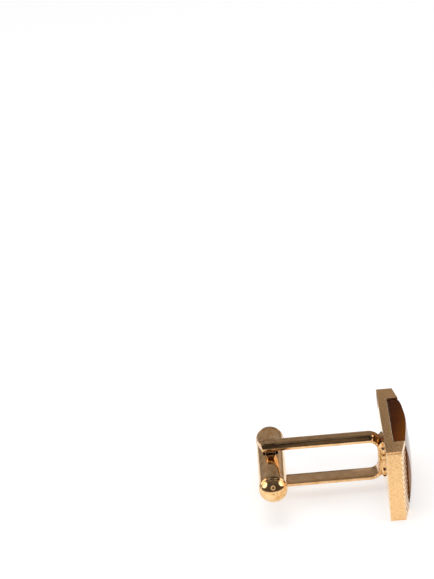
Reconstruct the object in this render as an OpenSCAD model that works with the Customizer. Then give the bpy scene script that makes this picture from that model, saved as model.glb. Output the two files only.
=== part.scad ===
// Cufflink with a ribbed face plate, a domed stone and a swivelling bullet back.
// X points out of the face, Y runs along the plate and Z up its short side.
// The plate stands on its lower long side, with the post and the bullet behind it.

/* [Face plate] */
// Length of the plate
plate_length = 21.2; // [17:0.2:26]
// Width of the plate, its height as it stands
plate_width = 11.4; // [9.6:0.1:14]
// Thickness of the web behind the stone
web_thickness = 1.35; // [1:0.05:1.8]
// Thickness of an end block at its outer end
edge_thickness = 2.35; // [2:0.05:2.8]
// Thickness of an end block beside the stone
crest_thickness = 3.05; // [2.9:0.05:3.6]
// Length of each ribbed end block
block_length = 3.5; // [2.5:0.1:5]
// Rounding of the plate's four corners
corner_radius = 0.3; // [0.1:0.05:0.6]
// Rounding of the long edges of the back
back_edge_radius = 0.25; // [0.1:0.05:0.4]

/* [Ribs] */
// Spacing of the engraved grooves
groove_pitch = 0.8; // [0.6:0.05:1.2]
// Width of a groove at the surface
groove_width = 0.36; // [0.2:0.02:0.5]
// Depth of a groove
groove_depth = 0.2; // [0.1:0.02:0.3]
// Plain border between the grooves and the stone
groove_border = 0.2; // [0.1:0.05:0.6]

/* [Stone] */
// Height of the stone's crown above the plate's back
stone_top = 4.15; // [4:0.05:5]
// Drop of the crown from the middle to the end blocks
crown_drop_long = 0.4; // [0.2:0.05:0.8]
// Drop of the crown from the middle to the long sides
crown_drop_short = 0.7; // [0.2:0.05:0.8]
// Shift of the hand-cut crown's top towards the far end
crown_shift = 1; // [-2:0.1:2]
// Distance of the stone from the plate's long sides
stone_margin = 0.15; // [0.05:0.05:0.5]
// Gap between the stone and each end block
stone_gap = 0.1; // [0.04:0.01:0.2]
// Rounding of the stone's corners, seen from the front
stone_corner_radius = 0.5; // [0.2:0.05:1]
// Rounding of the crown's edges
stone_edge_radius = 0.8; // [0.1:0.05:0.9]
// Thickness of the cement under the stone
cement_thickness = 0.12; // [0.06:0.02:0.2]
// Distance of the cement from the stone's edge
cement_inset = 0.2; // [0.1:0.05:0.5]

/* [Post] */
// Distance from the plate's back to the pin's axis
pin_reach = 16.85; // [14.5:0.05:20]
// Width of the bevelled wire
wire_width = 3.1; // [2.6:0.1:3.6]
// Height of the wire's flat sides
wire_side = 0.43; // [0.3:0.01:0.6]
// Height of the wire's ridge above its sides
wire_crown = 0.5; // [0.3:0.05:0.7]
// Width of the wire's flat ridge
wire_ridge = 1.5; // [1:0.1:2]
// Radius that softens the edges of the ridge
ridge_softening = 1.2; // [0.2:0.1:1.5]
// Clear width between the two arms
arm_gap = 5.75; // [5.1:0.05:6.4]
// Inner radius of the bends
bend_radius = 1.3; // [0.9:0.1:2]
// Length of the arms beyond the pin's axis
tip_length = 1.6; // [1.4:0.05:1.9]
// Slant of the cropped arm tips
tip_slant = 0.85; // [0:0.05:1]
// Depth of the flat filed on the base for the joint
seat_depth = 0.12; // [0.06:0.02:0.2]

/* [Solder] */
// Height of the solder on the plate
solder_height = 6.2; // [5:0.1:7]
// Height of the solder where it meets the bends
solder_neck_height = 5.3; // [4.6:0.1:6]
// Spread of the solder past the wire's sides
solder_spread = 0.12; // [0:0.02:0.3]
// Distance that the solder climbs from the plate
solder_climb = 0.6; // [0.45:0.05:0.8]
// Diameter of the pits in the solder
pit_diameter = 0.34; // [0.1:0.02:0.5]
// Depth of the pits in the solder
pit_depth = 0.3; // [0.1:0.05:0.5]

/* [Bullet] */
// Length of the bullet, with its caps
bullet_length = 19.2; // [16:0.2:21]
// Outer diameter of the tube
tube_diameter = 4.2; // [4:0.05:4.8]
// Wall of the tube
tube_wall = 0.4; // [0.3:0.05:0.5]
// Diameter of the caps' collars
collar_diameter = 4.26; // [4.2:0.02:4.8]
// Length of the caps' collars
collar_length = 0.2; // [0.1:0.05:1]
// Height of the domed ends
dome_height = 1.9; // [1.8:0.05:2]
// Radius of the domed ends' rims
dome_rim_radius = 1.6; // [1:0.05:1.65]
// Distance of the first turned ring from the dome's foot
ring_start = 0.25; // [0.15:0.05:0.4]
// Spacing of the turned rings
ring_pitch = 0.36; // [0.25:0.02:0.5]
// Width of a turned ring's groove at the surface
ring_width = 0.12; // [0.06:0.02:0.16]
// Depth of a turned ring's groove
ring_depth = 0.06; // [0.03:0.01:0.08]
// Length of the caps' spigots inside the tube
spigot_length = 0.8; // [0.5:0.1:1.5]

/* [Swivel] */
// Width across the flats of the pin
pin_side = 1.6; // [1.4:0.05:1.8]
// Diameter of the pin across its rounded corners
pin_corner_diameter = 2.2; // [2.1:0.05:2.3]
// Play between the pin's corners and the tube, on the radius
pin_play = 0.05; // [0.02:0.01:0.08]
// Play between the pin and its square holes in the arms, on each side
rivet_play = 0.03; // [0.01:0.01:0.05]
// Height of the riveted ends above the wire
rivet_height = 0.04; // [0:0.02:0.1]
// Thickness of the leaf springs
spring_thickness = 0.2; // [0.15:0.01:0.25]
// Width of the leaf springs
spring_width = 2.2; // [1.8:0.1:2.4]
// Play of the leaf springs in the tube and on the pin
spring_play = 0.02; // [0.01:0.01:0.04]

/* [Hidden] */
$fn = 96;
// Facets of the stone's wide arcs
crown_fn = 720;

// Overrun of every cut past the surface it opens
cut = 0.5;

// The web's middle plane is X = 0
back_x = -web_thickness / 2;
web_face_x = back_x + web_thickness;
edge_x = back_x + edge_thickness;
crest_x = back_x + crest_thickness;
half_length = plate_length / 2;
block_start = half_length - block_length;
middle_z = plate_width / 2;

groove_slope = atan((crest_thickness - edge_thickness) / block_length);
groove_run = block_length / cos(groove_slope);
groove_count = round(plate_width / groove_pitch) - 1;

stone_base_x = web_face_x + cement_thickness;
stone_top_x = back_x + stone_top;
stone_length = 2 * (block_start - stone_gap);
stone_width = plate_width - 2 * stone_margin;
crown_radius_long = arc_radius(stone_length / 2, crown_drop_long);
crown_radius_short = arc_radius(stone_width / 2, crown_drop_short);
crown_reach = stone_length / 2 + abs(crown_shift) + cut;
crown_sweep = 2 * asin(crown_reach / (crown_radius_long - stone_top));

wire_height = wire_side + wire_crown;
shoulder_angle = atan(2 * wire_crown / (wire_width - wire_ridge));
softening_cut = ridge_softening * tan(shoulder_angle / 2);
base_x = back_x - wire_height + seat_depth;
pin_x = back_x - pin_reach;
arm_offset = arm_gap / 2;
bend_x = base_x - bend_radius;
bend_offset = arm_offset - bend_radius;
pin_half_length = arm_offset + wire_height + rivet_height;

// Heights of the pits along each side of the solder, as shares of its half height
pit_shares = [-0.86, -0.53, 0.2, 0.6];

tube_radius = tube_diameter / 2;
bore_radius = tube_radius - tube_wall;
collar_radius = collar_diameter / 2;
pin_hole_radius = pin_corner_diameter / 2 + pin_play;
dome_start = bullet_length / 2 - dome_height;
collar_start = dome_start - collar_length;
dome_rim_offset = collar_radius - dome_rim_radius;
dome_rise = dome_height - dome_rim_radius;
dome_drop = (pow(dome_rim_offset, 2) - pow(dome_rise, 2)) / (2 * dome_rise);
dome_radius = dome_drop + dome_height;
dome_join = dome_radius * dome_rim_offset / (dome_radius - dome_rim_radius);
ring_count = 3;
ring_arc = 180 / (PI * dome_rim_radius);

spring_length = 2 * (collar_start - spigot_length - spring_play);
spring_end_x = sqrt(pow(bore_radius - spring_play, 2) - pow(spring_width / 2, 2)) - spring_thickness;
spring_middle_x = pin_side / 2 + spring_play;
spring_bow_radius = arc_radius(spring_length / 2, spring_end_x - spring_middle_x);

gold = "#dfae66";
gold_bright = "#eec182";
solder_tone = "#b9894c";
stone_brown = "#6b3d1c";
cement_tone = "#2b1a12";
spring_steel = "#9b9894";

// Radius of an arc with this half chord and this rise
function arc_radius(half_chord, rise) = (half_chord * half_chord + rise * rise) / (2 * rise);

// Rectangle from the origin with round corners, drawn from squares and circles
module round_rectangle(width, height, radius) {
    translate([radius, 0])
        square([width - 2 * radius, height]);
    translate([0, radius])
        square([width, height - 2 * radius]);
    for (x = [radius, width - radius], y = [radius, height - radius])
        translate([x, y])
            circle(r = radius);
}

// Turns a shape drawn in X and Y, and extruded along Z, to face along X
module facing_x() {
    rotate([90, 0, 90])
        children();
}

// Turns a shape drawn in X and Z to run along Y, from the near side to the far side
module along_y(start, length) {
    translate([0, start, 0])
        rotate([90, 0, 0])
            mirror([0, 0, 1])
                linear_extrude(height = length)
                    children();
}

module plate_profile() {
    polygon([
        [back_x, -half_length], [edge_x, -half_length],
        [crest_x, -block_start], [web_face_x, -block_start],
        [web_face_x, block_start], [crest_x, block_start],
        [edge_x, half_length], [back_x, half_length]
    ]);
}

// One V groove, from its start beside the stone to past the block's outer end
module groove() {
    flare = groove_width * cut / (2 * groove_depth);
    translate([crest_x, block_start, 0])
        rotate([0, 0, groove_slope])
            along_y(groove_border, groove_run + cut)
                polygon([
                    [-groove_depth, 0],
                    [cut, groove_width / 2 + flare],
                    [cut, -groove_width / 2 - flare]
                ]);
}

module block_grooves() {
    for (i = [0 : groove_count - 1])
        translate([0, 0, middle_z + (i - (groove_count - 1) / 2) * groove_pitch])
            groove();
}

module face_plate() {
    color(gold)
        difference() {
            intersection() {
                linear_extrude(height = plate_width)
                    plate_profile();
                translate([back_x - cut, -half_length, 0])
                    facing_x()
                        linear_extrude(height = stone_top + 2 * cut)
                            round_rectangle(plate_length, plate_width, corner_radius);
                along_y(-half_length - cut, plate_length + 2 * cut)
                    translate([back_x, 0])
                        round_rectangle(2 * stone_top, plate_width, back_edge_radius);
            }
            block_grooves();
            mirror([0, 1, 0])
                block_grooves();
        }
}

// Flat-backed shape under an arc, with rounded edges. The arc's top is at X = 0 and Y = shift
module crown_outline(width, crown_radius, shift) {
    inner_radius = crown_radius - stone_edge_radius;
    edge_y = width / 2 - stone_edge_radius;
    join_share = crown_radius / inner_radius;
    intersection() {
        translate([-crown_radius, shift])
            circle(r = crown_radius, $fn = crown_fn);
        translate([-stone_top, shift - join_share * (edge_y + shift)])
            square([stone_top, 2 * join_share * edge_y]);
    }
    for (side = [-1, 1]) {
        edge_x = sqrt(pow(inner_radius, 2) - pow(edge_y - side * shift, 2)) - crown_radius;
        translate([edge_x, side * edge_y])
            circle(r = stone_edge_radius);
        translate([-stone_top, side * (width - stone_edge_radius) / 2 - stone_edge_radius / 2])
            square([stone_top + edge_x, stone_edge_radius]);
    }
}

// Barrel with the crown's curve in both directions, longer than the stone
module crown_barrel() {
    translate([stone_top_x - crown_radius_long, crown_shift, middle_z])
        rotate([0, 0, -crown_sweep / 2])
            rotate_extrude(angle = crown_sweep, $fn = crown_fn)
                translate([crown_radius_long, 0])
                    crown_outline(stone_width, crown_radius_short, 0);
}

module stone() {
    color(stone_brown)
        intersection() {
            crown_barrel();
            linear_extrude(height = plate_width)
                translate([stone_top_x, 0])
                    crown_outline(stone_length, crown_radius_long, crown_shift);
            translate([stone_base_x, -stone_length / 2, stone_margin])
                facing_x()
                    linear_extrude(height = stone_top)
                        round_rectangle(stone_length, stone_width, stone_corner_radius);
        }
}

module stone_cement() {
    length = stone_length - 2 * cement_inset;
    width = stone_width - 2 * cement_inset;
    color(cement_tone)
        translate([web_face_x, -length / 2, middle_z - width / 2])
            facing_x()
                linear_extrude(height = cement_thickness)
                    round_rectangle(length, width, stone_corner_radius);
}

// Section of the bevelled wire: flat side on the X axis, ridge towards +Y
module wire_section() {
    half = wire_width / 2;
    soft_x = wire_ridge / 2 - softening_cut;
    edge_x = wire_ridge / 2 + softening_cut * cos(shoulder_angle);
    edge_y = wire_height - softening_cut * sin(shoulder_angle);
    polygon([
        [-half, 0], [half, 0], [half, wire_side],
        [edge_x, edge_y], [soft_x, wire_height],
        [-soft_x, wire_height], [-edge_x, edge_y], [-half, wire_side]
    ]);
    intersection() {
        translate([-half, 0])
            square([wire_width, wire_height]);
        for (side = [-1, 1])
            translate([side * soft_x, wire_height - ridge_softening])
                circle(r = ridge_softening);
    }
}

// Upper half of the U: half of the base, one bend and one arm, about the post's middle
module half_frame() {
    arm_end = pin_x - tip_length - tip_slant / 2;
    translate([base_x, 0, 0])
        rotate([0, 0, -90])
            linear_extrude(height = bend_offset)
                wire_section();
    translate([bend_x, 0, bend_offset])
        rotate([90, 0, 0])
            rotate_extrude(angle = 90)
                translate([bend_radius, 0])
                    rotate(-90)
                        wire_section();
    translate([arm_end, 0, arm_offset])
        facing_x()
            linear_extrude(height = bend_x - arm_end)
                wire_section();
}

// The whole U, filed flat where it meets the plate, with its tips cropped at a slant
module frame_solid() {
    cut_x = tip_length + wire_height;
    translate([0, 0, middle_z])
        difference() {
            union() {
                half_frame();
                mirror([0, 0, 1])
                    half_frame();
            }
            translate([back_x, -wire_width, -plate_width])
                cube([wire_height + cut, 2 * wire_width, 2 * plate_width]);
            translate([pin_x - tip_length, 0, -plate_width])
                linear_extrude(height = 2 * plate_width)
                    polygon([
                        [tip_slant, -wire_width], [-tip_slant, wire_width],
                        [-cut_x, wire_width], [-cut_x, -wire_width]
                    ]);
        }
}

module post_frame() {
    hole_side = pin_side + 2 * rivet_play;
    color(gold_bright)
        difference() {
            frame_solid();
            translate([pin_x - hole_side / 2, -hole_side / 2, middle_z - pin_half_length - cut])
                cube([hole_side, hole_side, 2 * (pin_half_length + cut)]);
        }
}

// Solder between the base of the post and the plate, with a flare at each bend
module solder_seam() {
    foot = wire_width / 2 + solder_spread;
    top = wire_width / 2;
    color(solder_tone)
        difference() {
            intersection() {
                translate([back_x, 0, middle_z - solder_height / 2])
                    linear_extrude(height = solder_height)
                        polygon([[0, -foot], [0, foot], [-solder_climb, top], [-solder_climb, -top]]);
                along_y(-wire_width, 2 * wire_width)
                    translate([back_x, middle_z])
                        polygon([
                            [0, -solder_height / 2], [0, solder_height / 2],
                            [-solder_climb, solder_neck_height / 2],
                            [-solder_climb, -solder_neck_height / 2]
                        ]);
            }
            frame_solid();
            for (side = [-1, 1], share = pit_shares)
                translate([back_x, side * (foot + cut), middle_z + share * solder_height / 2])
                    rotate([side * 90, 0, 0])
                        cylinder(d = pit_diameter, h = cut + pit_depth);
        }
}

module pivot_pin() {
    color(gold_bright)
        translate([pin_x, 0, middle_z - pin_half_length])
            intersection() {
                cylinder(d = pin_corner_diameter, h = 2 * pin_half_length);
                translate([-pin_side / 2, -pin_side / 2, 0])
                    cube([pin_side, pin_side, 2 * pin_half_length]);
            }
}

// Puts the bullet's pieces, drawn about the Z axis, on the pin with their axis along Y
module on_bullet() {
    translate([pin_x, 0, middle_z])
        rotate([-90, 0, 0])
            children();
}

module bullet_tube() {
    color(gold_bright)
        difference() {
            on_bullet()
                difference() {
                    cylinder(r = tube_radius, h = 2 * collar_start, center = true);
                    cylinder(r = bore_radius, h = 2 * (collar_start + cut), center = true);
                }
            translate([pin_x, 0, middle_z - tube_radius - cut])
                cylinder(r = pin_hole_radius, h = 2 * (tube_radius + cut));
        }
}

// Half outline of a cap: spigot, collar and dome, to be turned about the Y axis
module cap_outline() {
    translate([0, collar_start - spigot_length])
        square([bore_radius, spigot_length + collar_length]);
    translate([0, collar_start])
        square([collar_radius, collar_length]);
    intersection() {
        translate([dome_rim_offset, dome_start])
            circle(r = dome_rim_radius);
        translate([0, dome_start])
            square([collar_radius, dome_height]);
    }
    intersection() {
        translate([0, dome_start - dome_drop])
            circle(r = dome_radius);
        translate([0, dome_start])
            square([dome_join, dome_height]);
    }
}

// The outline with the grooves of the turned rings
module cap_section() {
    difference() {
        cap_outline();
        for (i = [0 : ring_count - 1])
            translate([dome_rim_offset, dome_start])
                rotate((ring_start + i * ring_pitch) * ring_arc)
                    translate([dome_rim_radius, 0])
                        polygon([[-ring_depth, 0], [ring_depth, ring_width], [ring_depth, -ring_width]]);
    }
}

module bullet_cap() {
    color(gold_bright)
        rotate_extrude()
            cap_section();
}

module bullet_cap_right() {
    on_bullet()
        bullet_cap();
}

module bullet_cap_left() {
    on_bullet()
        mirror([0, 0, 1])
            bullet_cap();
}

// One bowed leaf: its middle bears on the pin's flat and its ends on the tube's wall
module leaf_spring() {
    color(spring_steel)
        translate([pin_x, 0, middle_z - spring_width / 2])
            linear_extrude(height = spring_width)
                intersection() {
                    translate([spring_middle_x + spring_bow_radius, 0])
                        difference() {
                            circle(r = spring_bow_radius);
                            circle(r = spring_bow_radius - spring_thickness);
                        }
                    translate([0, -spring_length / 2])
                        square([tube_radius, spring_length]);
                }
}

module leaf_spring_inner() {
    leaf_spring();
}

module leaf_spring_outer() {
    translate([2 * pin_x, 0, 0])
        mirror([1, 0, 0])
            leaf_spring();
}

face_plate();
stone();
stone_cement();
post_frame();
solder_seam();
pivot_pin();
bullet_tube();
bullet_cap_left();
bullet_cap_right();
leaf_spring_inner();
leaf_spring_outer();
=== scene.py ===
import math

import bpy
from mathutils import Matrix, Vector


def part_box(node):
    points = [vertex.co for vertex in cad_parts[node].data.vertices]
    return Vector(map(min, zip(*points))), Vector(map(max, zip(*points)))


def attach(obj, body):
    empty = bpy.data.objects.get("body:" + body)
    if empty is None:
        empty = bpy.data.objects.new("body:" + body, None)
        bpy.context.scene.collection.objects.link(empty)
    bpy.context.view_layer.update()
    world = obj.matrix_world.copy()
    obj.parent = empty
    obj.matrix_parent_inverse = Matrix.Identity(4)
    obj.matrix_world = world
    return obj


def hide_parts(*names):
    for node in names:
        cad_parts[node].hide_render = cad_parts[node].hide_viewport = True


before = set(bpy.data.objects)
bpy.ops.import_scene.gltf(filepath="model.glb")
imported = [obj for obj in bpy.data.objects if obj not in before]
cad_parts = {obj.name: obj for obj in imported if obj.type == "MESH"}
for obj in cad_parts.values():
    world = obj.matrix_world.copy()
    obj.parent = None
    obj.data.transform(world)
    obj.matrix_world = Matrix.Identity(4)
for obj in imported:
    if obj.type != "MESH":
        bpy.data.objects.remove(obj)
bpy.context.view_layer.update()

mm = 0.001
perMetre = 1000  # millimetres in a metre, which is the unit of Object coordinates
hair = 0.01  # millimetres within which a corner counts as lying on a face


def linear(hexColour):
    # sRGB hex to the linear values that Blender's sockets take
    parts = [int(hexColour[i:i + 2], 16) / 255 for i in (1, 3, 5)]
    return tuple(p / 12.92 if p <= 0.04045 else ((p + 0.055) / 1.055) ** 2.4 for p in parts) + (1.0,)


def grey(level):
    return (level, level, level, 1.0)


def patternScale(sizes):
    # the Mapping scale that makes a pattern's grains this big, in millimetres along X, Y and Z
    return [perMetre / size for size in sizes]


def boxOf(node):
    return [[value / mm for value in corner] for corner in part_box(node)]


def addNode(tree, kind, settings=None, links=None, stops=None):
    # settings: a property, or a socket's name or number; links: an input and what feeds it;
    # stops: a ramp's positions and colours
    node = tree.nodes.new(kind)
    for key, value in (settings or {}).items():
        if isinstance(key, str) and hasattr(node, key):
            setattr(node, key, value)
        else:
            node.inputs[key].default_value = value
    for key, feed in (links or {}).items():
        output = feed.outputs[0] if isinstance(feed, bpy.types.Node) else feed
        tree.links.new(output, node.inputs[key])
    for number, (position, colour) in enumerate(stops or []):
        elements = node.color_ramp.elements
        if number >= len(elements):
            elements.new(position)
        elements[number].position = position
        elements[number].color = colour
    return node


def startMaterial(name):
    material = bpy.data.materials.new(name)
    material.use_nodes = True
    material.node_tree.nodes.clear()
    return material, material.node_tree


# a long lens well in front of the near end, with the cufflink low on the right of the picture
cameraSet = {
    "azimuth": -1.4346,
    "elevation": 24.2902,
    "roll": -5.6152,  # the real cufflink leans back on its post by this much
    "pixelsPerMm": 6.6133,
    "distance": 400.04,
    "across": 26.161,
    "up": -29.85,
    "imageHeight": 579,
    "sensor": 36.0,
    "clip": (0.01, 10),
}


def placeCamera(values):
    azimuth, elevation, roll = (math.radians(values[k]) for k in ("azimuth", "elevation", "roll"))
    back = Vector((-math.sin(azimuth) * math.cos(elevation), -math.cos(azimuth) * math.cos(elevation),
                   math.sin(elevation)))
    level = Vector((math.cos(azimuth), -math.sin(azimuth), 0))
    upright = back.cross(level)
    right = level * math.cos(roll) + upright * math.sin(roll)
    up = upright * math.cos(roll) - level * math.sin(roll)
    spot = (back * values["distance"] - right * values["across"] - up * values["up"]) * mm
    data = bpy.data.cameras.new("camera")
    data.sensor_width = values["sensor"]
    data.lens = values["pixelsPerMm"] * values["distance"] / values["imageHeight"] * values["sensor"]
    data.clip_start, data.clip_end = values["clip"]
    camera = bpy.data.objects.new("camera", data)
    bpy.context.collection.objects.link(camera)
    camera.matrix_world = Matrix.Translation(spot) @ Matrix((right, up, back)).transposed().to_4x4()
    bpy.context.scene.camera = camera


print("camera")
placeCamera(cameraSet)
bpy.context.scene.view_settings.view_transform = "Standard"


def whiteForEyes(tree):
    # 1 for what the camera, metal and glass see, 0 for what lights the object
    path = addNode(tree, "ShaderNodeLightPath")
    some = addNode(tree, "ShaderNodeMath", {"operation": "MAXIMUM"},
                   {0: path.outputs["Is Camera Ray"], 1: path.outputs["Is Glossy Ray"]})
    return addNode(tree, "ShaderNodeMath", {"operation": "MAXIMUM"},
                   {0: some, 1: path.outputs["Is Transmission Ray"]}).outputs[0]


# a sheet of paper in metres, grey enough to keep the shadow and lit enough to look white
floorSet = {"size": 2.4, "glow": 0.59, "paper": "#C6C6C6"}


def layFloor(values):
    bpy.ops.mesh.primitive_plane_add(size=values["size"], location=(0, 0, 0))
    floor = bpy.context.object
    floor.name = "paperFloor"
    material, tree = startMaterial("white seamless paper")
    paper = addNode(tree, "ShaderNodeBsdfDiffuse", {"Color": linear(values["paper"])})
    level = addNode(tree, "ShaderNodeMath", {"operation": "MULTIPLY", 1: values["glow"]},
                    {0: whiteForEyes(tree)})
    glow = addNode(tree, "ShaderNodeEmission", {"Color": grey(1)}, {"Strength": level})
    both = addNode(tree, "ShaderNodeAddShader", links={0: paper, 1: glow})
    addNode(tree, "ShaderNodeOutputMaterial", links={"Surface": both})
    floor.data.materials.append(material)


# the small warm tent that polished metal mirrors: dim behind, darker in front and overhead,
# with soft windows on each side and a pale ring round the lens; levels by height, or by distance
# from the way that a light lies, both as shares of the radius
tentSet = {
    "centre": (-8, -8, 0),
    "radius": 35,
    "segments": 64,
    "rings": 32,
    "cloth": "#FFF4EE",
    "behind": [(0.0, 0.9), (0.03, 0.5), (0.06, 0.34), (0.14, 0.24), (0.42, 0.33), (0.56, 0.25),
               (0.70, 0.20), (0.82, 0.15), (0.89, 0.04), (0.94, 0.03), (0.98, 0.12), (1.0, 0.13)],
    "infront": [(0.0, 0.9), (0.03, 0.5), (0.07, 0.2), (0.14, 0.08), (0.8, 0.08), (0.95, 0.12), (1.0, 0.13)],
    "blend": 0.15,  # how far in front merges into behind
    "lights": {
        "leftWindow": {"towards": (-0.87, -0.08, 0.48), "levels": [(0.0, 2.6), (0.21, 2.6), (0.27, 0.0)]},
        "rightWindow": {"towards": (0.72, -0.10, 0.68), "levels": [(0.0, 2.6), (0.33, 2.6), (0.41, 0.0)]},
        "leftWindowBack": {"towards": (-0.82, 0.38, 0.42), "levels": [(0.0, 2.4), (0.22, 2.4), (0.30, 0.0)]},
        "rightWindowBack": {"towards": (0.62, 0.48, 0.62), "levels": [(0.0, 2.4), (0.22, 2.4), (0.30, 0.0)]},
        "farGlow": {"towards": (0.16, 0.90, 0.27), "levels": [(0.0, 0.5), (0.08, 0.45), (0.22, 0.0)]},
        "sideGlow": {"towards": (0.66, 0.72, 0.20), "levels": [(0.0, 2.0), (0.20, 1.9), (0.40, 0.0)]},
        "lensRing": {"towards": (-0.27, -0.81, 0.51),
                     "levels": [(0.0, 0.1), (0.12, 0.1), (0.17, 0.75), (0.26, 0.65), (0.33, 0.0)]},
    },
}


def raiseTent(values):
    bpy.ops.mesh.primitive_uv_sphere_add(segments=values["segments"], ring_count=values["rings"],
                                         radius=values["radius"] * mm, location=Vector(values["centre"]) * mm)
    tent = bpy.context.object
    tent.name = "studioTent"
    for sight in ("camera", "diffuse", "shadow", "transmission"):
        setattr(tent, "visible_" + sight, False)
    material, tree = startMaterial("dim studio tent")
    place = addNode(tree, "ShaderNodeTexCoord").outputs["Object"]
    spot = addNode(tree, "ShaderNodeMapping", {"Scale": patternScale([values["radius"]] * 3)},
                   {"Vector": place})
    parts = addNode(tree, "ShaderNodeSeparateXYZ", links={"Vector": spot})
    behind = addNode(tree, "ShaderNodeValToRGB", links={"Fac": parts.outputs["Z"]},
                     stops=[(height, grey(bright)) for height, bright in values["behind"]])
    infront = addNode(tree, "ShaderNodeValToRGB", links={"Fac": parts.outputs["Z"]},
                      stops=[(height, grey(bright)) for height, bright in values["infront"]])
    side = addNode(tree, "ShaderNodeMapRange", {"From Min": -values["blend"], "From Max": values["blend"]},
                   {"Value": parts.outputs["Y"]})
    level = addNode(tree, "ShaderNodeMix", {"data_type": "RGBA"},
                    {0: side, 6: infront.outputs[0], 7: behind.outputs[0]}).outputs[2]
    for light in values["lights"].values():
        gap = addNode(tree, "ShaderNodeVectorMath", {"operation": "DISTANCE", 1: light["towards"]},
                      {0: spot}).outputs["Value"]
        shine = addNode(tree, "ShaderNodeValToRGB", links={"Fac": gap},
                        stops=[(reach, grey(bright)) for reach, bright in light["levels"]])
        level = addNode(tree, "ShaderNodeMath", {"operation": "MAXIMUM"}, {0: level, 1: shine}).outputs[0]
    glow = addNode(tree, "ShaderNodeEmission", {"Color": linear(values["cloth"])}, {"Strength": level})
    addNode(tree, "ShaderNodeOutputMaterial", links={"Surface": glow})
    tent.data.materials.append(material)


# soft boxes, placed in metres, that light the stone, the floor and the cement
lampSet = {
    "overhead": {"place": (-0.05, 0.05, 0.45), "size": 0.4, "watts": 0.9},
    "left": {"place": (-0.42, -0.22, 0.24), "size": 0.3, "watts": 0.5},
    "right": {"place": (0.42, -0.18, 0.26), "size": 0.3, "watts": 0.5},
}


def hangLamp(name, values):
    data = bpy.data.lights.new(name, "AREA")
    data.shape = "SQUARE"
    data.size = values["size"]
    data.energy = values["watts"]
    lamp = bpy.data.objects.new(name, data)
    bpy.context.collection.objects.link(lamp)
    lamp.location = values["place"]
    lamp.rotation_euler = (-Vector(values["place"])).to_track_quat("-Z", "Y").to_euler()
    lamp.visible_camera = False
    lamp.visible_glossy = False  # metal mirrors the tent's windows instead


worldSet = {"light": 0.35, "seen": 1.0}  # what the backdrop throws on the object, and what is seen of it


def openWorld(values):
    world = bpy.data.worlds.new("white backdrop")
    bpy.context.scene.world = world
    world.use_nodes = True
    tree = world.node_tree
    tree.nodes.clear()
    level = addNode(tree, "ShaderNodeMapRange", {"To Min": values["light"], "To Max": values["seen"]},
                    {"Value": whiteForEyes(tree)})
    back = addNode(tree, "ShaderNodeBackground", {"Color": grey(1)}, {"Strength": level})
    addNode(tree, "ShaderNodeOutputWorld", links={"Surface": back})


print("floor, tent and lamps")
layFloor(floorSet)
raiseTent(tentSet)
for lampName, lampValues in lampSet.items():
    hangLamp(lampName, lampValues)
openWorld(worldSet)


# gold plating over brass; sizes are in millimetres, and a share says how strongly a trait shows
satinSet = {  # blasted before it was plated: a fine sparkle and broad soft highlights
    "deep": "#F4C184", "pale": "#FFD49A", "cloud": 0.24,
    "pore": "#B9854A", "poreShare": 0.3, "pores": 0.3,
    "heat": "#B87A34", "heatShare": 0.0,
    "grain": (0.3, 0.3, 0.3), "grit": 0.13, "bump": 0.8, "bumpDepth": 0.012,
    "roughLow": 0.22, "roughHigh": 0.40, "roughFlat": 0.08, "roughEdge": 0.4,
    "edge": 0.04, "rim": 0.25, "paintedEdgeHighlight": "#FFF0D2", "edgeHighlightShare": 0.85,
    "scratch": (2.5, 0.3, 0.3), "scratchShare": 0.0,
    # on the satin plate the soot colour is used only as painted shade on the grooves' slopes
    "sootAndShade": "#5E3D20", "sootShare": 0.0, "grooveShare": 0.65, "sideShade": 0.0,
}
wireSet = {  # drawn and polished: a mirror streaked along its length
    "deep": "#E9B97F", "pale": "#FBD09C", "cloud": 1.2,
    "pore": "#8F6434", "poreShare": 0.3, "pores": 0.4,
    "heat": "#B07022", "heatShare": 0.9,
    "grain": (4.0, 0.16, 0.16), "grit": 0.25, "bump": 0.3, "bumpDepth": 0.010,
    "roughLow": 0.07, "roughHigh": 0.2, "roughFlat": 0.1, "roughEdge": 0.0,
    "edge": 0.06, "rim": 0.2, "paintedEdgeHighlight": "#FFF0D2", "edgeHighlightShare": 0.2,
    "scratch": (25.0, 0.17, 0.17), "scratchShare": 0.5,
    "sootAndShade": "#4A301A", "sootShare": 0.8, "grooveShare": 0.0, "sideShade": 0.0,
}
bulletSet = {  # turned and polished: the clearest mirror, faintly clouded by wear
    "deep": "#E6B270", "pale": "#FFD8A2", "cloud": 1.4,
    "pore": "#8F6434", "poreShare": 0.3, "pores": 0.4,
    "heat": "#B87A34", "heatShare": 0.0,
    "grain": (0.2, 3.0, 0.2), "grit": 0.25, "bump": 0.2, "bumpDepth": 0.008,
    "roughLow": 0.05, "roughHigh": 0.14, "roughFlat": 0.07, "roughEdge": 0.0,
    "edge": 0.02, "rim": 0.08, "paintedEdgeHighlight": "#FFF0D2", "edgeHighlightShare": 0.2,
    "scratch": (0.25, 2.0, 0.25), "scratchShare": 0.15,
    "sootAndShade": "#4A301A", "sootShare": 0.4, "grooveShare": 0.0, "sideShade": 0.0,
}
pinSet = dict(wireSet, sideShade=0.8, sootAndShade="#5A5B5E")  # a grey tone for its soot, and for the painted shade on its sides where it sits in the bullet

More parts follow.
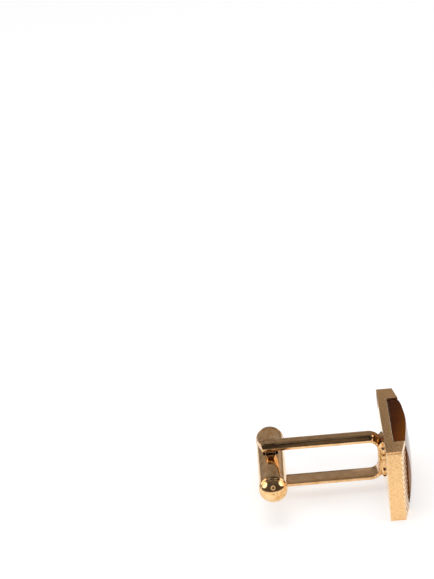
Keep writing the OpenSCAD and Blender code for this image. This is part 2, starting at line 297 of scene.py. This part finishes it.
# where each trait of the plating, painted highlight and painted shade included, begins and where it is full
platingSet = {
    "clouds": (0.35, 0.62), "pores": (0.62, 0.72), "heat": (0.45, 0.62), "marks": (0.45, 0.95),
    "lines": (0.56, 0.66), "sootAndShade": (0.4, 0.6),
    "paintedEdgeHighlight": (0.985, 0.9),  # where the painted pale edge highlight sets in: how well the edge's bent normal agrees with the face's
    "flat": (0.8, 0.95), "front": (0.3, 0.5),  # how squarely a face looks along X
    "side": (0.9, 0.6), "groove": (0.2, 0.45),  # how squarely it looks along Z: painted shade on the pin's sides and on the grooves' slopes
    "corner": (0.05, 0.25),  # how much it looks along Y and Z at once
    "torch": (-3.0, -1.9),  # X of the flame's reach
    "shadeFreeEnds": (0.1, 0.6),  # from the plate's ends, where the grooves get no painted shade
    "heatStreak": (0.22, 0.22, 1.1), "gritShare": 0.4, "flatBump": 0.15, "edgeSamples": 6,
}


def heatStreaks(tree, place, colour, values):
    # where the torch soldered the post's foot, the plating has darker streaks
    spot = addNode(tree, "ShaderNodeMapping", {"Scale": patternScale(platingSet["heatStreak"])},
                   {"Vector": place})
    streaks = addNode(tree, "ShaderNodeTexNoise", {"Scale": 1, "Detail": 3, "Distortion": 0.8},
                      {"Vector": spot})
    start, full = platingSet["heat"]
    strong = addNode(tree, "ShaderNodeMapRange",
                     {"From Min": start, "From Max": full, "To Max": values["heatShare"]}, {"Value": streaks})
    depth = addNode(tree, "ShaderNodeSeparateXYZ", links={"Vector": place}).outputs["X"]
    start, full = platingSet["torch"]
    near = addNode(tree, "ShaderNodeMapRange", {"From Min": start * mm, "From Max": full * mm},
                   {"Value": depth})
    mask = addNode(tree, "ShaderNodeMath", {"operation": "MULTIPLY"}, {0: strong, 1: near})
    return addNode(tree, "ShaderNodeMix", {"data_type": "RGBA", 7: linear(values["heat"])},
                   {0: mask, 6: colour}).outputs[2]


def platedTone(tree, place, spot, specks, values):
    # thin and thick plating make clouds, and pores show the brass under it
    clouds = addNode(tree, "ShaderNodeTexNoise", {"Scale": 1 / values["cloud"], "Detail": 4}, {"Vector": spot})
    deep, pale = platingSet["clouds"]
    tone = addNode(tree, "ShaderNodeValToRGB", links={"Fac": clouds},
                   stops=[(deep, linear(values["deep"])), (pale, linear(values["pale"]))])
    start, full = platingSet["pores"]
    poreMask = addNode(tree, "ShaderNodeMapRange",
                       {"From Min": start, "From Max": full, "To Max": values["poreShare"]}, {"Value": specks})
    porous = addNode(tree, "ShaderNodeMix", {"data_type": "RGBA", 7: linear(values["pore"])},
                     {0: poreMask, 6: tone.outputs[0]}).outputs[2]
    return heatStreaks(tree, place, porous, values)


def toolMarks(tree, place, spot, values):
    # the grain that drawing, turning or blasting left, with grit in it
    along = addNode(tree, "ShaderNodeMapping", {"Scale": patternScale(values["grain"])}, {"Vector": place})
    grain = addNode(tree, "ShaderNodeTexNoise", {"Scale": 1, "Detail": 3, "Roughness": 0.6}, {"Vector": along})
    grit = addNode(tree, "ShaderNodeTexNoise", {"Scale": 1 / values["grit"], "Detail": 2}, {"Vector": spot})
    return addNode(tree, "ShaderNodeMath", {"operation": "MULTIPLY_ADD", 1: platingSet["gritShare"]},
                   {0: grit, 2: grain})


def buffing(tree, marks, facing, flatShare, values):
    # faces square to X were buffed smoother, and the round corners of the plate were tumbled matt
    start, full = platingSet["marks"]
    rough = addNode(tree, "ShaderNodeMapRange",
                    {"From Min": start, "From Max": full,
                     "To Min": values["roughLow"], "To Max": values["roughHigh"]}, {"Value": marks})
    buffed = addNode(tree, "ShaderNodeMix", {"data_type": "FLOAT", 3: values["roughFlat"]},
                     {0: flatShare, 2: rough}).outputs[0]
    slant = addNode(tree, "ShaderNodeMath", {"operation": "MULTIPLY"},
                    {0: facing.outputs["Y"], 1: facing.outputs["Z"]})
    corner = addNode(tree, "ShaderNodeMath", {"operation": "ABSOLUTE"}, {0: slant})
    start, full = platingSet["corner"]
    matt = addNode(tree, "ShaderNodeMapRange",
                   {"From Min": start, "From Max": full, "To Max": values["roughEdge"]}, {"Value": corner})
    return addNode(tree, "ShaderNodeMath", {"operation": "ADD"}, {0: buffed, 1: matt})


def dirtAndShadeMask(tree, place, facing, edgeShare, specks, values):
    # soot lies in the drawing lines and in patches along the edges; painted shade is added below
    scored = addNode(tree, "ShaderNodeMapping", {"Scale": patternScale(values["scratch"])}, {"Vector": place})
    lines = addNode(tree, "ShaderNodeTexNoise", {"Scale": 1, "Detail": 2}, {"Vector": scored})
    start, full = platingSet["lines"]
    lineSoot = addNode(tree, "ShaderNodeMapRange",
                       {"From Min": start, "From Max": full, "To Max": values["scratchShare"]}, {"Value": lines})
    patches = addNode(tree, "ShaderNodeMath", {"operation": "MULTIPLY"}, {0: edgeShare, 1: specks})
    start, full = platingSet["sootAndShade"]
    edgeSoot = addNode(tree, "ShaderNodeMapRange",
                       {"From Min": start, "From Max": full, "To Max": values["sootShare"]}, {"Value": patches})
    sootAndShade = addNode(tree, "ShaderNodeMath", {"operation": "MAXIMUM"}, {0: lineSoot, 1: edgeSoot})

    # painted shade: the pin's sides are darkened, and so are the slopes of the plate's grooves, but not at its
    # very ends
    upright = addNode(tree, "ShaderNodeMath", {"operation": "ABSOLUTE"}, {0: facing.outputs["Z"]})
    start, full = platingSet["side"]
    sideShadeMask = addNode(tree, "ShaderNodeMapRange",
                   {"From Min": start, "From Max": full, "To Max": values["sideShade"]}, {"Value": upright})
    start, full = platingSet["groove"]
    slope = addNode(tree, "ShaderNodeMapRange",
                    {"From Min": start, "From Max": full, "To Max": values["grooveShare"]}, {"Value": upright})
    start, full = platingSet["front"]
    front = addNode(tree, "ShaderNodeMapRange", {"From Min": start, "From Max": full},
                    {"Value": facing.outputs["X"]})
    parts = addNode(tree, "ShaderNodeSeparateXYZ", links={"Vector": place})
    span = addNode(tree, "ShaderNodeMath", {"operation": "ABSOLUTE"}, {0: parts.outputs["Y"]})
    plateEnd = boxOf("face_plate")[1][1]
    start, full = ((plateEnd - inset) * mm for inset in platingSet["shadeFreeEnds"])
    inner = addNode(tree, "ShaderNodeMapRange", {"From Min": start, "From Max": full}, {"Value": span})
    inside = addNode(tree, "ShaderNodeMath", {"operation": "MULTIPLY"}, {0: front, 1: inner})
    grooves = addNode(tree, "ShaderNodeMath", {"operation": "MULTIPLY"}, {0: slope, 1: inside})
    shaded = addNode(tree, "ShaderNodeMath", {"operation": "MAXIMUM"}, {0: grooves, 1: sideShadeMask})
    return addNode(tree, "ShaderNodeMath", {"operation": "MAXIMUM"}, {0: sootAndShade, 1: shaded})


def goldPlate(name, values):
    # the plating's clouds and pores vary the tone, edges get a painted pale highlight, soot marks the drawing
    # lines,
    #  painted shade darkens the grooves' slopes and the pin's sides, and the tool's grain breaks up the
    #  highlights
    material, tree = startMaterial(name)
    coordinates = addNode(tree, "ShaderNodeTexCoord")
    place = coordinates.outputs["Object"]
    facing = addNode(tree, "ShaderNodeSeparateXYZ", links={"Vector": coordinates.outputs["Normal"]})
    spot = addNode(tree, "ShaderNodeMapping", {"Scale": patternScale((1, 1, 1))}, {"Vector": place})
    specks = addNode(tree, "ShaderNodeTexNoise", {"Scale": 1 / values["pores"], "Detail": 2}, {"Vector": spot})
    tone = platedTone(tree, place, spot, specks, values)

    rim = addNode(tree, "ShaderNodeBevel",
                  {"Radius": values["rim"] * mm, "samples": platingSet["edgeSamples"]})
    flatNormal = addNode(tree, "ShaderNodeNewGeometry").outputs["Normal"]
    agree = addNode(tree, "ShaderNodeVectorMath", {"operation": "DOT_PRODUCT"},
                    {0: rim, 1: flatNormal}).outputs["Value"]
    start, full = platingSet["paintedEdgeHighlight"]
    edgeShare = addNode(tree, "ShaderNodeMapRange", {"From Min": start, "From Max": full}, {"Value": agree})
    # painted highlight: the edges are mixed towards a pale cream
    edgeHighlightMask = addNode(tree, "ShaderNodeMath", {"operation": "MULTIPLY", 1: values["edgeHighlightShare"]},
                         {0: edgeShare})
    paintedEdgeHighlight = addNode(tree, "ShaderNodeMix", {"data_type": "RGBA", 7: linear(values["paintedEdgeHighlight"])},
                     {0: edgeHighlightMask, 6: tone}).outputs[2]
    dirtAndShade = dirtAndShadeMask(tree, place, facing, edgeShare, specks, values)
    sootyAndShaded = addNode(tree, "ShaderNodeMix", {"data_type": "RGBA", 7: linear(values["sootAndShade"])},
                    {0: dirtAndShade, 6: paintedEdgeHighlight}).outputs[2]

    steep = addNode(tree, "ShaderNodeMath", {"operation": "ABSOLUTE"}, {0: facing.outputs["X"]})
    start, full = platingSet["flat"]
    flatShare = addNode(tree, "ShaderNodeMapRange", {"From Min": start, "From Max": full}, {"Value": steep})
    marks = toolMarks(tree, place, spot, values)
    rough = buffing(tree, marks, facing, flatShare, values)
    calm = addNode(tree, "ShaderNodeMapRange", {"To Min": 1, "To Max": platingSet["flatBump"]},
                   {"Value": flatShare})
    relief = addNode(tree, "ShaderNodeMath", {"operation": "MULTIPLY"}, {0: marks, 1: calm})
    edge = addNode(tree, "ShaderNodeBevel",
                   {"Radius": values["edge"] * mm, "samples": platingSet["edgeSamples"]})
    bump = addNode(tree, "ShaderNodeBump", {"Strength": values["bump"], "Distance": values["bumpDepth"] * mm},
                   {"Height": relief, "Normal": edge})
    metal = addNode(tree, "ShaderNodeBsdfPrincipled", {"Metallic": 1.0},
                    {"Base Color": sootyAndShaded, "Roughness": rough, "Normal": bump})
    addNode(tree, "ShaderNodeOutputMaterial", links={"Surface": metal})
    return material


# tiger's eye: quartz with upright fibres, ground on its sides and polished on its face
stoneSet = {
    "fibre": (2.0, 0.16, 7.0), "band": (3.0, 1.5, 20.0), "bandShare": 0.5, "fibreShare": 0.42,
    "face": {0.25: "#3A1B0A", 0.42: "#86490F", 0.56: "#AE6A1A", 0.74: "#D89636"},
    "side": {0.1: "#442719", 0.4: "#4F2A17", 1.0: "#7E4614"},
    "amberStart": 0.9, "amberReach": 3.2, "amberLean": 0.04,  # painted light: amber where light seeps through the thin edge
    "amberShare": 0.5, "sideFibres": 0.5,
    # painted sheen: the golden band of the fibres, its height, reach and strength
    "sheenBandHeight": 2.8, "sheenBandReach": 9.0, "sheenBandShare": 0.27, "base": 0.15,
    "ior": 1.54, "polish": 0.11, "ground": 0.85,
    "polished": (0.78, 0.95),  # how squarely a face looks along X where the polish begins and is full
    "edge": 0.06, "edgeSamples": 6,
}


def tigerEye(values):
    # the fibres show as fine upright streaks, and a painted sheen makes one lengthwise band glow golden
    material, tree = startMaterial("tiger's eye, polished face and ground sides")
    coordinates = addNode(tree, "ShaderNodeTexCoord")
    place = coordinates.outputs["Object"]
    parts = addNode(tree, "ShaderNodeSeparateXYZ", links={"Vector": place})
    along = addNode(tree, "ShaderNodeMapping", {"Scale": patternScale(values["fibre"])}, {"Vector": place})
    fibres = addNode(tree, "ShaderNodeTexNoise", {"Scale": 1, "Detail": 4, "Roughness": 0.65, "Distortion": 0.4},
                     {"Vector": along})
    wide = addNode(tree, "ShaderNodeMapping", {"Scale": patternScale(values["band"])}, {"Vector": place})
    bands = addNode(tree, "ShaderNodeTexNoise", {"Scale": 1, "Detail": 3, "Distortion": 0.6}, {"Vector": wide})
    streaks = addNode(tree, "ShaderNodeMix", {"data_type": "FLOAT", 0: values["bandShare"]},
                      {2: fibres, 3: bands})

    # painted sheen: the tone is raised in a band round one height of the stone
    offset = addNode(tree, "ShaderNodeMath", {"operation": "SUBTRACT", 1: values["sheenBandHeight"] * mm},
                     {0: parts.outputs["Z"]})
    gap = addNode(tree, "ShaderNodeMath", {"operation": "ABSOLUTE"}, {0: offset})
    glow = addNode(tree, "ShaderNodeMapRange",
                   {"interpolation_type": "SMOOTHSTEP", "From Min": values["sheenBandReach"] * mm, "From Max": 0,
                    "To Min": values["base"], "To Max": values["base"] + values["sheenBandShare"]}, {"Value": gap})
    lit = addNode(tree, "ShaderNodeMath", {"operation": "MULTIPLY_ADD", 1: values["fibreShare"]},
                  {0: streaks, 2: glow})
    face = addNode(tree, "ShaderNodeValToRGB", links={"Fac": lit},
                   stops=[(stop, linear(colour)) for stop, colour in values["face"].items()])

    # painted light: the sides turn amber towards the face and the near end
    seep = addNode(tree, "ShaderNodeMapRange",
                   {"From Min": values["amberStart"] * mm, "From Max": values["amberReach"] * mm,
                    "To Max": values["amberShare"]}, {"Value": parts.outputs["X"]})
    lean = addNode(tree, "ShaderNodeMath", {"operation": "MULTIPLY_ADD", 1: -values["amberLean"] * perMetre},
                   {0: parts.outputs["Y"], 2: seep})
    depth = addNode(tree, "ShaderNodeMath", {"operation": "MULTIPLY_ADD", 1: values["sideFibres"]},
                    {0: streaks, 2: lean})
    side = addNode(tree, "ShaderNodeValToRGB", links={"Fac": depth},
                   stops=[(stop, linear(colour)) for stop, colour in values["side"].items()])

    facing = addNode(tree, "ShaderNodeSeparateXYZ", links={"Vector": coordinates.outputs["Normal"]})
    start, full = values["polished"]
    faceShare = addNode(tree, "ShaderNodeMapRange", {"From Min": start, "From Max": full},
                        {"Value": facing.outputs["X"]})
    tone = addNode(tree, "ShaderNodeMix", {"data_type": "RGBA"},
                   {0: faceShare, 6: side.outputs[0], 7: face.outputs[0]}).outputs[2]
    edge = addNode(tree, "ShaderNodeBevel", {"Radius": values["edge"] * mm, "samples": values["edgeSamples"]})
    stone = addNode(tree, "ShaderNodeBsdfPrincipled",
                    {"IOR": values["ior"], "Specular IOR Level": 0.0, "Roughness": values["ground"],
                     "Coat IOR": values["ior"], "Coat Roughness": values["polish"]},
                    {"Base Color": tone, "Coat Weight": faceShare, "Normal": edge, "Coat Normal": edge})
    addNode(tree, "ShaderNodeOutputMaterial", links={"Surface": stone})
    return material


# stuffs whose uneven grain varies their tone and relief
cementSet = {"name": "dark shellac cement", "tones": {0.35: "#26130A", 0.6: "#4A2A16"},  # a dull dark line
             "grain": (0.2, 0.2, 0.2), "rough": 0.85, "metal": 0.0, "bump": 0.5, "bumpDepth": 0.03}
solderSet = {"name": "gold-plated hard solder", "tones": {0.35: "#A9742C", 0.6: "#FFD9A4"},  # lumpy glints
             "grain": (0.2, 0.25, 0.9), "rough": 0.16, "metal": 1.0, "bump": 1.0, "bumpDepth": 0.06}
fluxSet = {"name": "burnt borax flux", "tones": {0.35: "#1C120A", 0.6: "#3A2616"},  # nearly black, and glassy
           "grain": (0.15, 0.15, 0.15), "rough": 0.3, "metal": 0.0, "bump": 0.6, "bumpDepth": 0.03}
springSet = {"name": "rolled spring steel", "tones": {0.35: "#8C8985", 0.6: "#B5B2AE"},  # a grey sheen
             "grain": (0.4, 0.4, 0.4), "rough": 0.3, "metal": 1.0, "bump": 0.2, "bumpDepth": 0.03}


def lumpyStuff(values):
    material, tree = startMaterial(values["name"])
    place = addNode(tree, "ShaderNodeTexCoord").outputs["Object"]
    spot = addNode(tree, "ShaderNodeMapping", {"Scale": patternScale(values["grain"])}, {"Vector": place})
    grain = addNode(tree, "ShaderNodeTexNoise", {"Scale": 1, "Detail": 4, "Roughness": 0.6}, {"Vector": spot})
    tone = addNode(tree, "ShaderNodeValToRGB", links={"Fac": grain},
                   stops=[(stop, linear(colour)) for stop, colour in values["tones"].items()])
    bump = addNode(tree, "ShaderNodeBump", {"Strength": values["bump"], "Distance": values["bumpDepth"] * mm},
                   {"Height": grain})
    stuff = addNode(tree, "ShaderNodeBsdfPrincipled", {"Roughness": values["rough"], "Metallic": values["metal"]},
                    {"Base Color": tone.outputs[0], "Normal": bump})
    addNode(tree, "ShaderNodeOutputMaterial", links={"Surface": stuff})
    return material


print("finishes")
burntFlux = lumpyStuff(fluxSet)
bulletGold = goldPlate("polished gold plate on turned brass", bulletSet)
springSteel = lumpyStuff(springSet)
finishes = {
    "face_plate": goldPlate("satin gold plate on cast brass", satinSet),
    "stone": tigerEye(stoneSet),
    "stone_cement": lumpyStuff(cementSet),
    "post_frame": goldPlate("polished gold plate on drawn wire", wireSet),
    "solder_seam": lumpyStuff(solderSet),
    "pivot_pin": goldPlate("tarnished gold plate on the pin", pinSet),
    "bullet_tube": bulletGold,
    "bullet_cap_left": bulletGold,
    "bullet_cap_right": bulletGold,
    "leaf_spring_inner": springSteel,
    "leaf_spring_outer": springSteel,
}
for nodeName, finish in finishes.items():
    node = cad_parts[nodeName]
    node.data.materials.clear()
    node.data.materials.append(finish)


def choose(piece, kind, test):
    # opens the piece for editing with the vertices, edges or polygons chosen whose corners pass the test
    bpy.ops.object.mode_set(mode="OBJECT")
    mesh = piece.data
    for item in [*mesh.vertices, *mesh.edges, *mesh.polygons]:
        item.select = False
    bpy.context.tool_settings.mesh_select_mode = [kind == each for each in ("vertices", "edges", "polygons")]
    for item in getattr(mesh, kind):
        corners = [item.co] if kind == "vertices" else [mesh.vertices[i].co for i in item.vertices]
        item.select = test([corner / mm for corner in corners])
    bpy.ops.object.mode_set(mode="EDIT")


def block(name, low, high):
    # a box between two corners in millimetres, alone in the selection, to be shaped
    bpy.ops.object.select_all(action="DESELECT")
    middle = [(a + b) / 2 * mm for a, b in zip(low, high)]
    bpy.ops.mesh.primitive_cube_add(size=1, location=middle, scale=[(b - a) * mm for a, b in zip(low, high)])
    piece = bpy.context.object
    piece.name = name
    bpy.ops.object.transform_apply(location=True, rotation=True, scale=True)
    return piece


def applyModifier(piece, kind, **settings):
    modifier = piece.modifiers.new(kind.lower(), kind)
    for key, value in settings.items():
        setattr(modifier, key, value)
    bpy.ops.object.modifier_apply(modifier=modifier.name)


copySet = {"merge": 0.001}  # corners of a CAD piece's loose triangles are one when this near, in millimetres


def copyOf(node, name):
    # a copy of a CAD piece with its loose triangles joined, alone in the selection
    piece = bpy.data.objects.new(name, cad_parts[node].data.copy())
    bpy.context.collection.objects.link(piece)
    bpy.ops.object.select_all(action="DESELECT")
    piece.select_set(True)
    bpy.context.view_layer.objects.active = piece
    choose(piece, "vertices", lambda corners: True)
    bpy.ops.mesh.remove_doubles(threshold=copySet["merge"] * mm)
    bpy.ops.object.mode_set(mode="OBJECT")
    return piece


# the grooves were cut by hand, so they wander a little along each end block
plateSet = {
    "cuts": 8, "wander": 0.24, "wave": 1.3,
    "frontShare": 0.55, "stoneGap": 0.3, "sideGap": 0.5,  # what wanders: front corners clear of stone and sides
}


def cutPlate(values):
    low, high = boxOf("face_plate")
    stoneLow, stoneHigh = boxOf("stone")
    piece = copyOf("face_plate", "handCutPlate")
    choose(piece, "vertices", lambda corners: True)
    for outer, inner in ((low[1], stoneLow[1]), (high[1], stoneHigh[1])):
        for step in range(1, values["cuts"]):
            along = outer + (inner - outer) * step / values["cuts"]
            bpy.ops.mesh.select_all(action="SELECT")
            bpy.ops.mesh.bisect(plane_co=(0, along * mm, 0), plane_no=(0, 1, 0))
    choose(piece, "vertices",
           lambda corners: corners[0].x > high[0] * values["frontShare"]
           and abs(corners[0].y) > stoneHigh[1] + values["stoneGap"]
           and low[2] + values["sideGap"] < corners[0].z < high[2] - values["sideGap"])
    bpy.ops.object.vertex_group_add()
    bpy.ops.object.vertex_group_assign()
    bpy.ops.object.mode_set(mode="OBJECT")
    wave = bpy.data.textures.new("grooveWander", "CLOUDS")
    wave.noise_scale = values["wave"] * mm
    applyModifier(piece, "DISPLACE", texture=wave, texture_coords="GLOBAL", direction="Z", mid_level=0.5,
                  strength=values["wander"] * mm, vertex_group=piece.vertex_groups[0].name)
    bpy.ops.object.shade_flat()
    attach(piece, "frame")
    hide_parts("face_plate")


# the crown was ground after the sides, so it meets them in a crisp edge that stands a little high mid-way
crownSet = {
    "foot": 2.0,  # what lies above this X is crown
    "rounding": 0.8, "crisp": 3,  # the CAD edge's radius, and how tightly its rows close up on the side
    "cornerFrom": 6.25, "cornerTo": 6.8,  # along the stone, where the crisp edge ends in the round corner
    "lift": 0.17, "liftFrom": 2.5, "liftTo": 5.0,  # across the stone, from the middle
    "liftMiddle": 0.6, "liftReach": 6.6,  # along the stone
    "smooth": 25,
}


def fade(value, start, end):
    share = min(max((value - start) / (end - start), 0), 1)
    return share * share * (3 - 2 * share)


def grindCrown(values):
    low, high = boxOf("stone")
    middle = (low[2] + high[2]) / 2
    edge = high[2] - middle - values["rounding"]
    piece = copyOf("stone", "groundStone")
    shifts = {"upperEdge": ("Z", values["rounding"]), "lowerEdge": ("Z", -values["rounding"]),
              "liftedEdge": ("X", values["lift"])}
    for name in shifts:
        piece.vertex_groups.new(name=name)
    groups = piece.vertex_groups
    for vertex in piece.data.vertices:
        x, y, z = vertex.co / mm
        if x < values["foot"]:
            continue
        share = min(max((abs(z - middle) - edge) / values["rounding"], 0), 1)
        close = 1 - (1 - share) ** values["crisp"] - share
        close *= 1 - fade(abs(y), values["cornerFrom"], values["cornerTo"])
        groups["upperEdge" if z > middle else "lowerEdge"].add([vertex.index], close, "REPLACE")
        rise = fade(abs(z - middle), values["liftFrom"], values["liftTo"])
        rise *= 1 - fade(abs(y - values["liftMiddle"]), 0, values["liftReach"])
        groups["liftedEdge"].add([vertex.index], rise, "REPLACE")
    for name, (direction, reach) in shifts.items():
        applyModifier(piece, "DISPLACE", direction=direction, mid_level=0, strength=reach * mm, vertex_group=name)
    bpy.ops.object.shade_smooth_by_angle(angle=math.radians(values["smooth"]))
    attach(piece, "frame")
    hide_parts("stone")


# the wire was drawn with soft edges, which mirror the lens and the floor as thin lines
postSet = {"soften": 0.16, "steps": 3, "sharpest": 35, "smooth": 40}


def softenPost(values):
    piece = copyOf("post_frame", "softenedPost")
    applyModifier(piece, "BEVEL", width=values["soften"] * mm, segments=values["steps"], limit_method="ANGLE",
                  angle_limit=math.radians(values["sharpest"]))
    bpy.ops.object.shade_smooth_by_angle(angle=math.radians(values["smooth"]))
    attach(piece, "frame")
    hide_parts("post_frame")


# the solder ran unevenly round the post's foot and left pits filled with burnt flux
jointSet = {
    "sink": 0.05,  # how far it goes into the plate
    "neckHeight": 0.8, "neckWidth": 0.97,  # share of its size that is left at the post
    "voxel": 0.04,
    "lump": 0.5, "lumpHeight": 0.11, "lumpMiddle": 0.55,
    "pits": [  # each pit's height, half width, distance from the plate and how much taller than wide it is
        {"height": 7.5, "reach": 0.14, "inset": 0.12, "tall": 1.9},
        {"height": 6.4, "reach": 0.09, "inset": 0.05, "tall": 1.2},
        {"height": 5.6, "reach": 0.06, "inset": 0.08, "tall": 1.6},
        {"height": 4.0, "reach": 0.15, "inset": 0.06, "tall": 1.8},
        {"height": 2.95, "reach": 0.12, "inset": 0.1, "tall": 0.9},
    ],
    "pitLean": -0.2, "pitDepth": 0.1, "pitSkin": 0.3, "pitSmooth": 0.5,
}


def makeJoint(values):
    low, high = boxOf("solder_seam")
    piece = block("solderJoint", low, (high[0] + values["sink"], high[1], high[2]))
    choose(piece, "polygons", lambda corners: all(corner.x < low[0] + hair for corner in corners))
    bpy.ops.transform.resize(value=(1, values["neckWidth"], values["neckHeight"]))
    bpy.ops.object.mode_set(mode="OBJECT")
    applyModifier(piece, "REMESH", mode="VOXEL", voxel_size=values["voxel"] * mm)
    lumps = bpy.data.textures.new("solderLumps", "CLOUDS")
    lumps.noise_scale = values["lump"] * mm
    applyModifier(piece, "DISPLACE", texture=lumps, texture_coords="GLOBAL", mid_level=values["lumpMiddle"],
                  strength=values["lumpHeight"] * mm)

    def inPit(corner, side, pit):
        rise = corner.z - pit["height"]
        across = (corner.x - high[0] + pit["inset"] - rise * values["pitLean"]) / pit["reach"]
        atSkin = side * corner.y > high[1] - values["pitSkin"]
        return atSkin and math.hypot(across, rise / pit["reach"] / pit["tall"]) < 1

    for side in (-1, 1):
        for pit in values["pits"]:
            choose(piece, "vertices", lambda corners: inPit(corners[0], side, pit))
            bpy.ops.transform.translate(value=(0, -side * values["pitDepth"] * mm, 0))
            bpy.ops.mesh.vertices_smooth(factor=values["pitSmooth"])
            choose(piece, "polygons", lambda corners: all(inPit(corner, side, pit) for corner in corners))
            bpy.ops.object.mode_set(mode="OBJECT")
            for face in piece.data.polygons:
                if face.select:
                    face.material_index = 1
    bpy.ops.object.shade_smooth()
    piece.data.materials.append(finishes["solder_seam"])
    piece.data.materials.append(burntFlux)
    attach(piece, "frame")
    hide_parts("solder_seam")


# cement that squeezed out along the far part of the stone's long sides
beadSet = {
    "thick": 0.24, "start": -1.5, "endGap": 0.2, "below": 0.02, "above": 0.05,
    "cuts": 24, "wobble": 0.12, "seed": 4, "levels": 2,
}


def makeBead(values):
    low, high = boxOf("stone")
    cementLow, cementHigh = boxOf("stone_cement")
    half = values["thick"] / 2
    for name, height, turn in (("cementBeadTop", high[2], 1), ("cementBeadBottom", low[2], -1)):
        piece = block(name, (cementLow[0] - values["below"], values["start"], height - half),
                      (cementHigh[0] + values["above"], high[1] - values["endGap"], height + half))
        choose(piece, "edges", lambda corners: abs(corners[0].y - corners[1].y) > values["thick"] + hair)
        bpy.ops.mesh.subdivide(number_cuts=values["cuts"])
        choose(piece, "vertices", lambda corners: True)
        bpy.ops.transform.vertex_random(offset=values["wobble"] * mm, uniform=1, seed=values["seed"] + turn)
        bpy.ops.object.mode_set(mode="OBJECT")
        applyModifier(piece, "SUBSURF", levels=values["levels"], render_levels=values["levels"])
        bpy.ops.object.shade_smooth()
        piece.data.materials.append(finishes["stone_cement"])
        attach(piece, "frame")


print("hand-cut plate, drawn wire and ground stone")
cutPlate(plateSet)
softenPost(postSet)
grindCrown(crownSet)

print("solder joint and cement")
makeJoint(jointSet)
makeBead(beadSet)
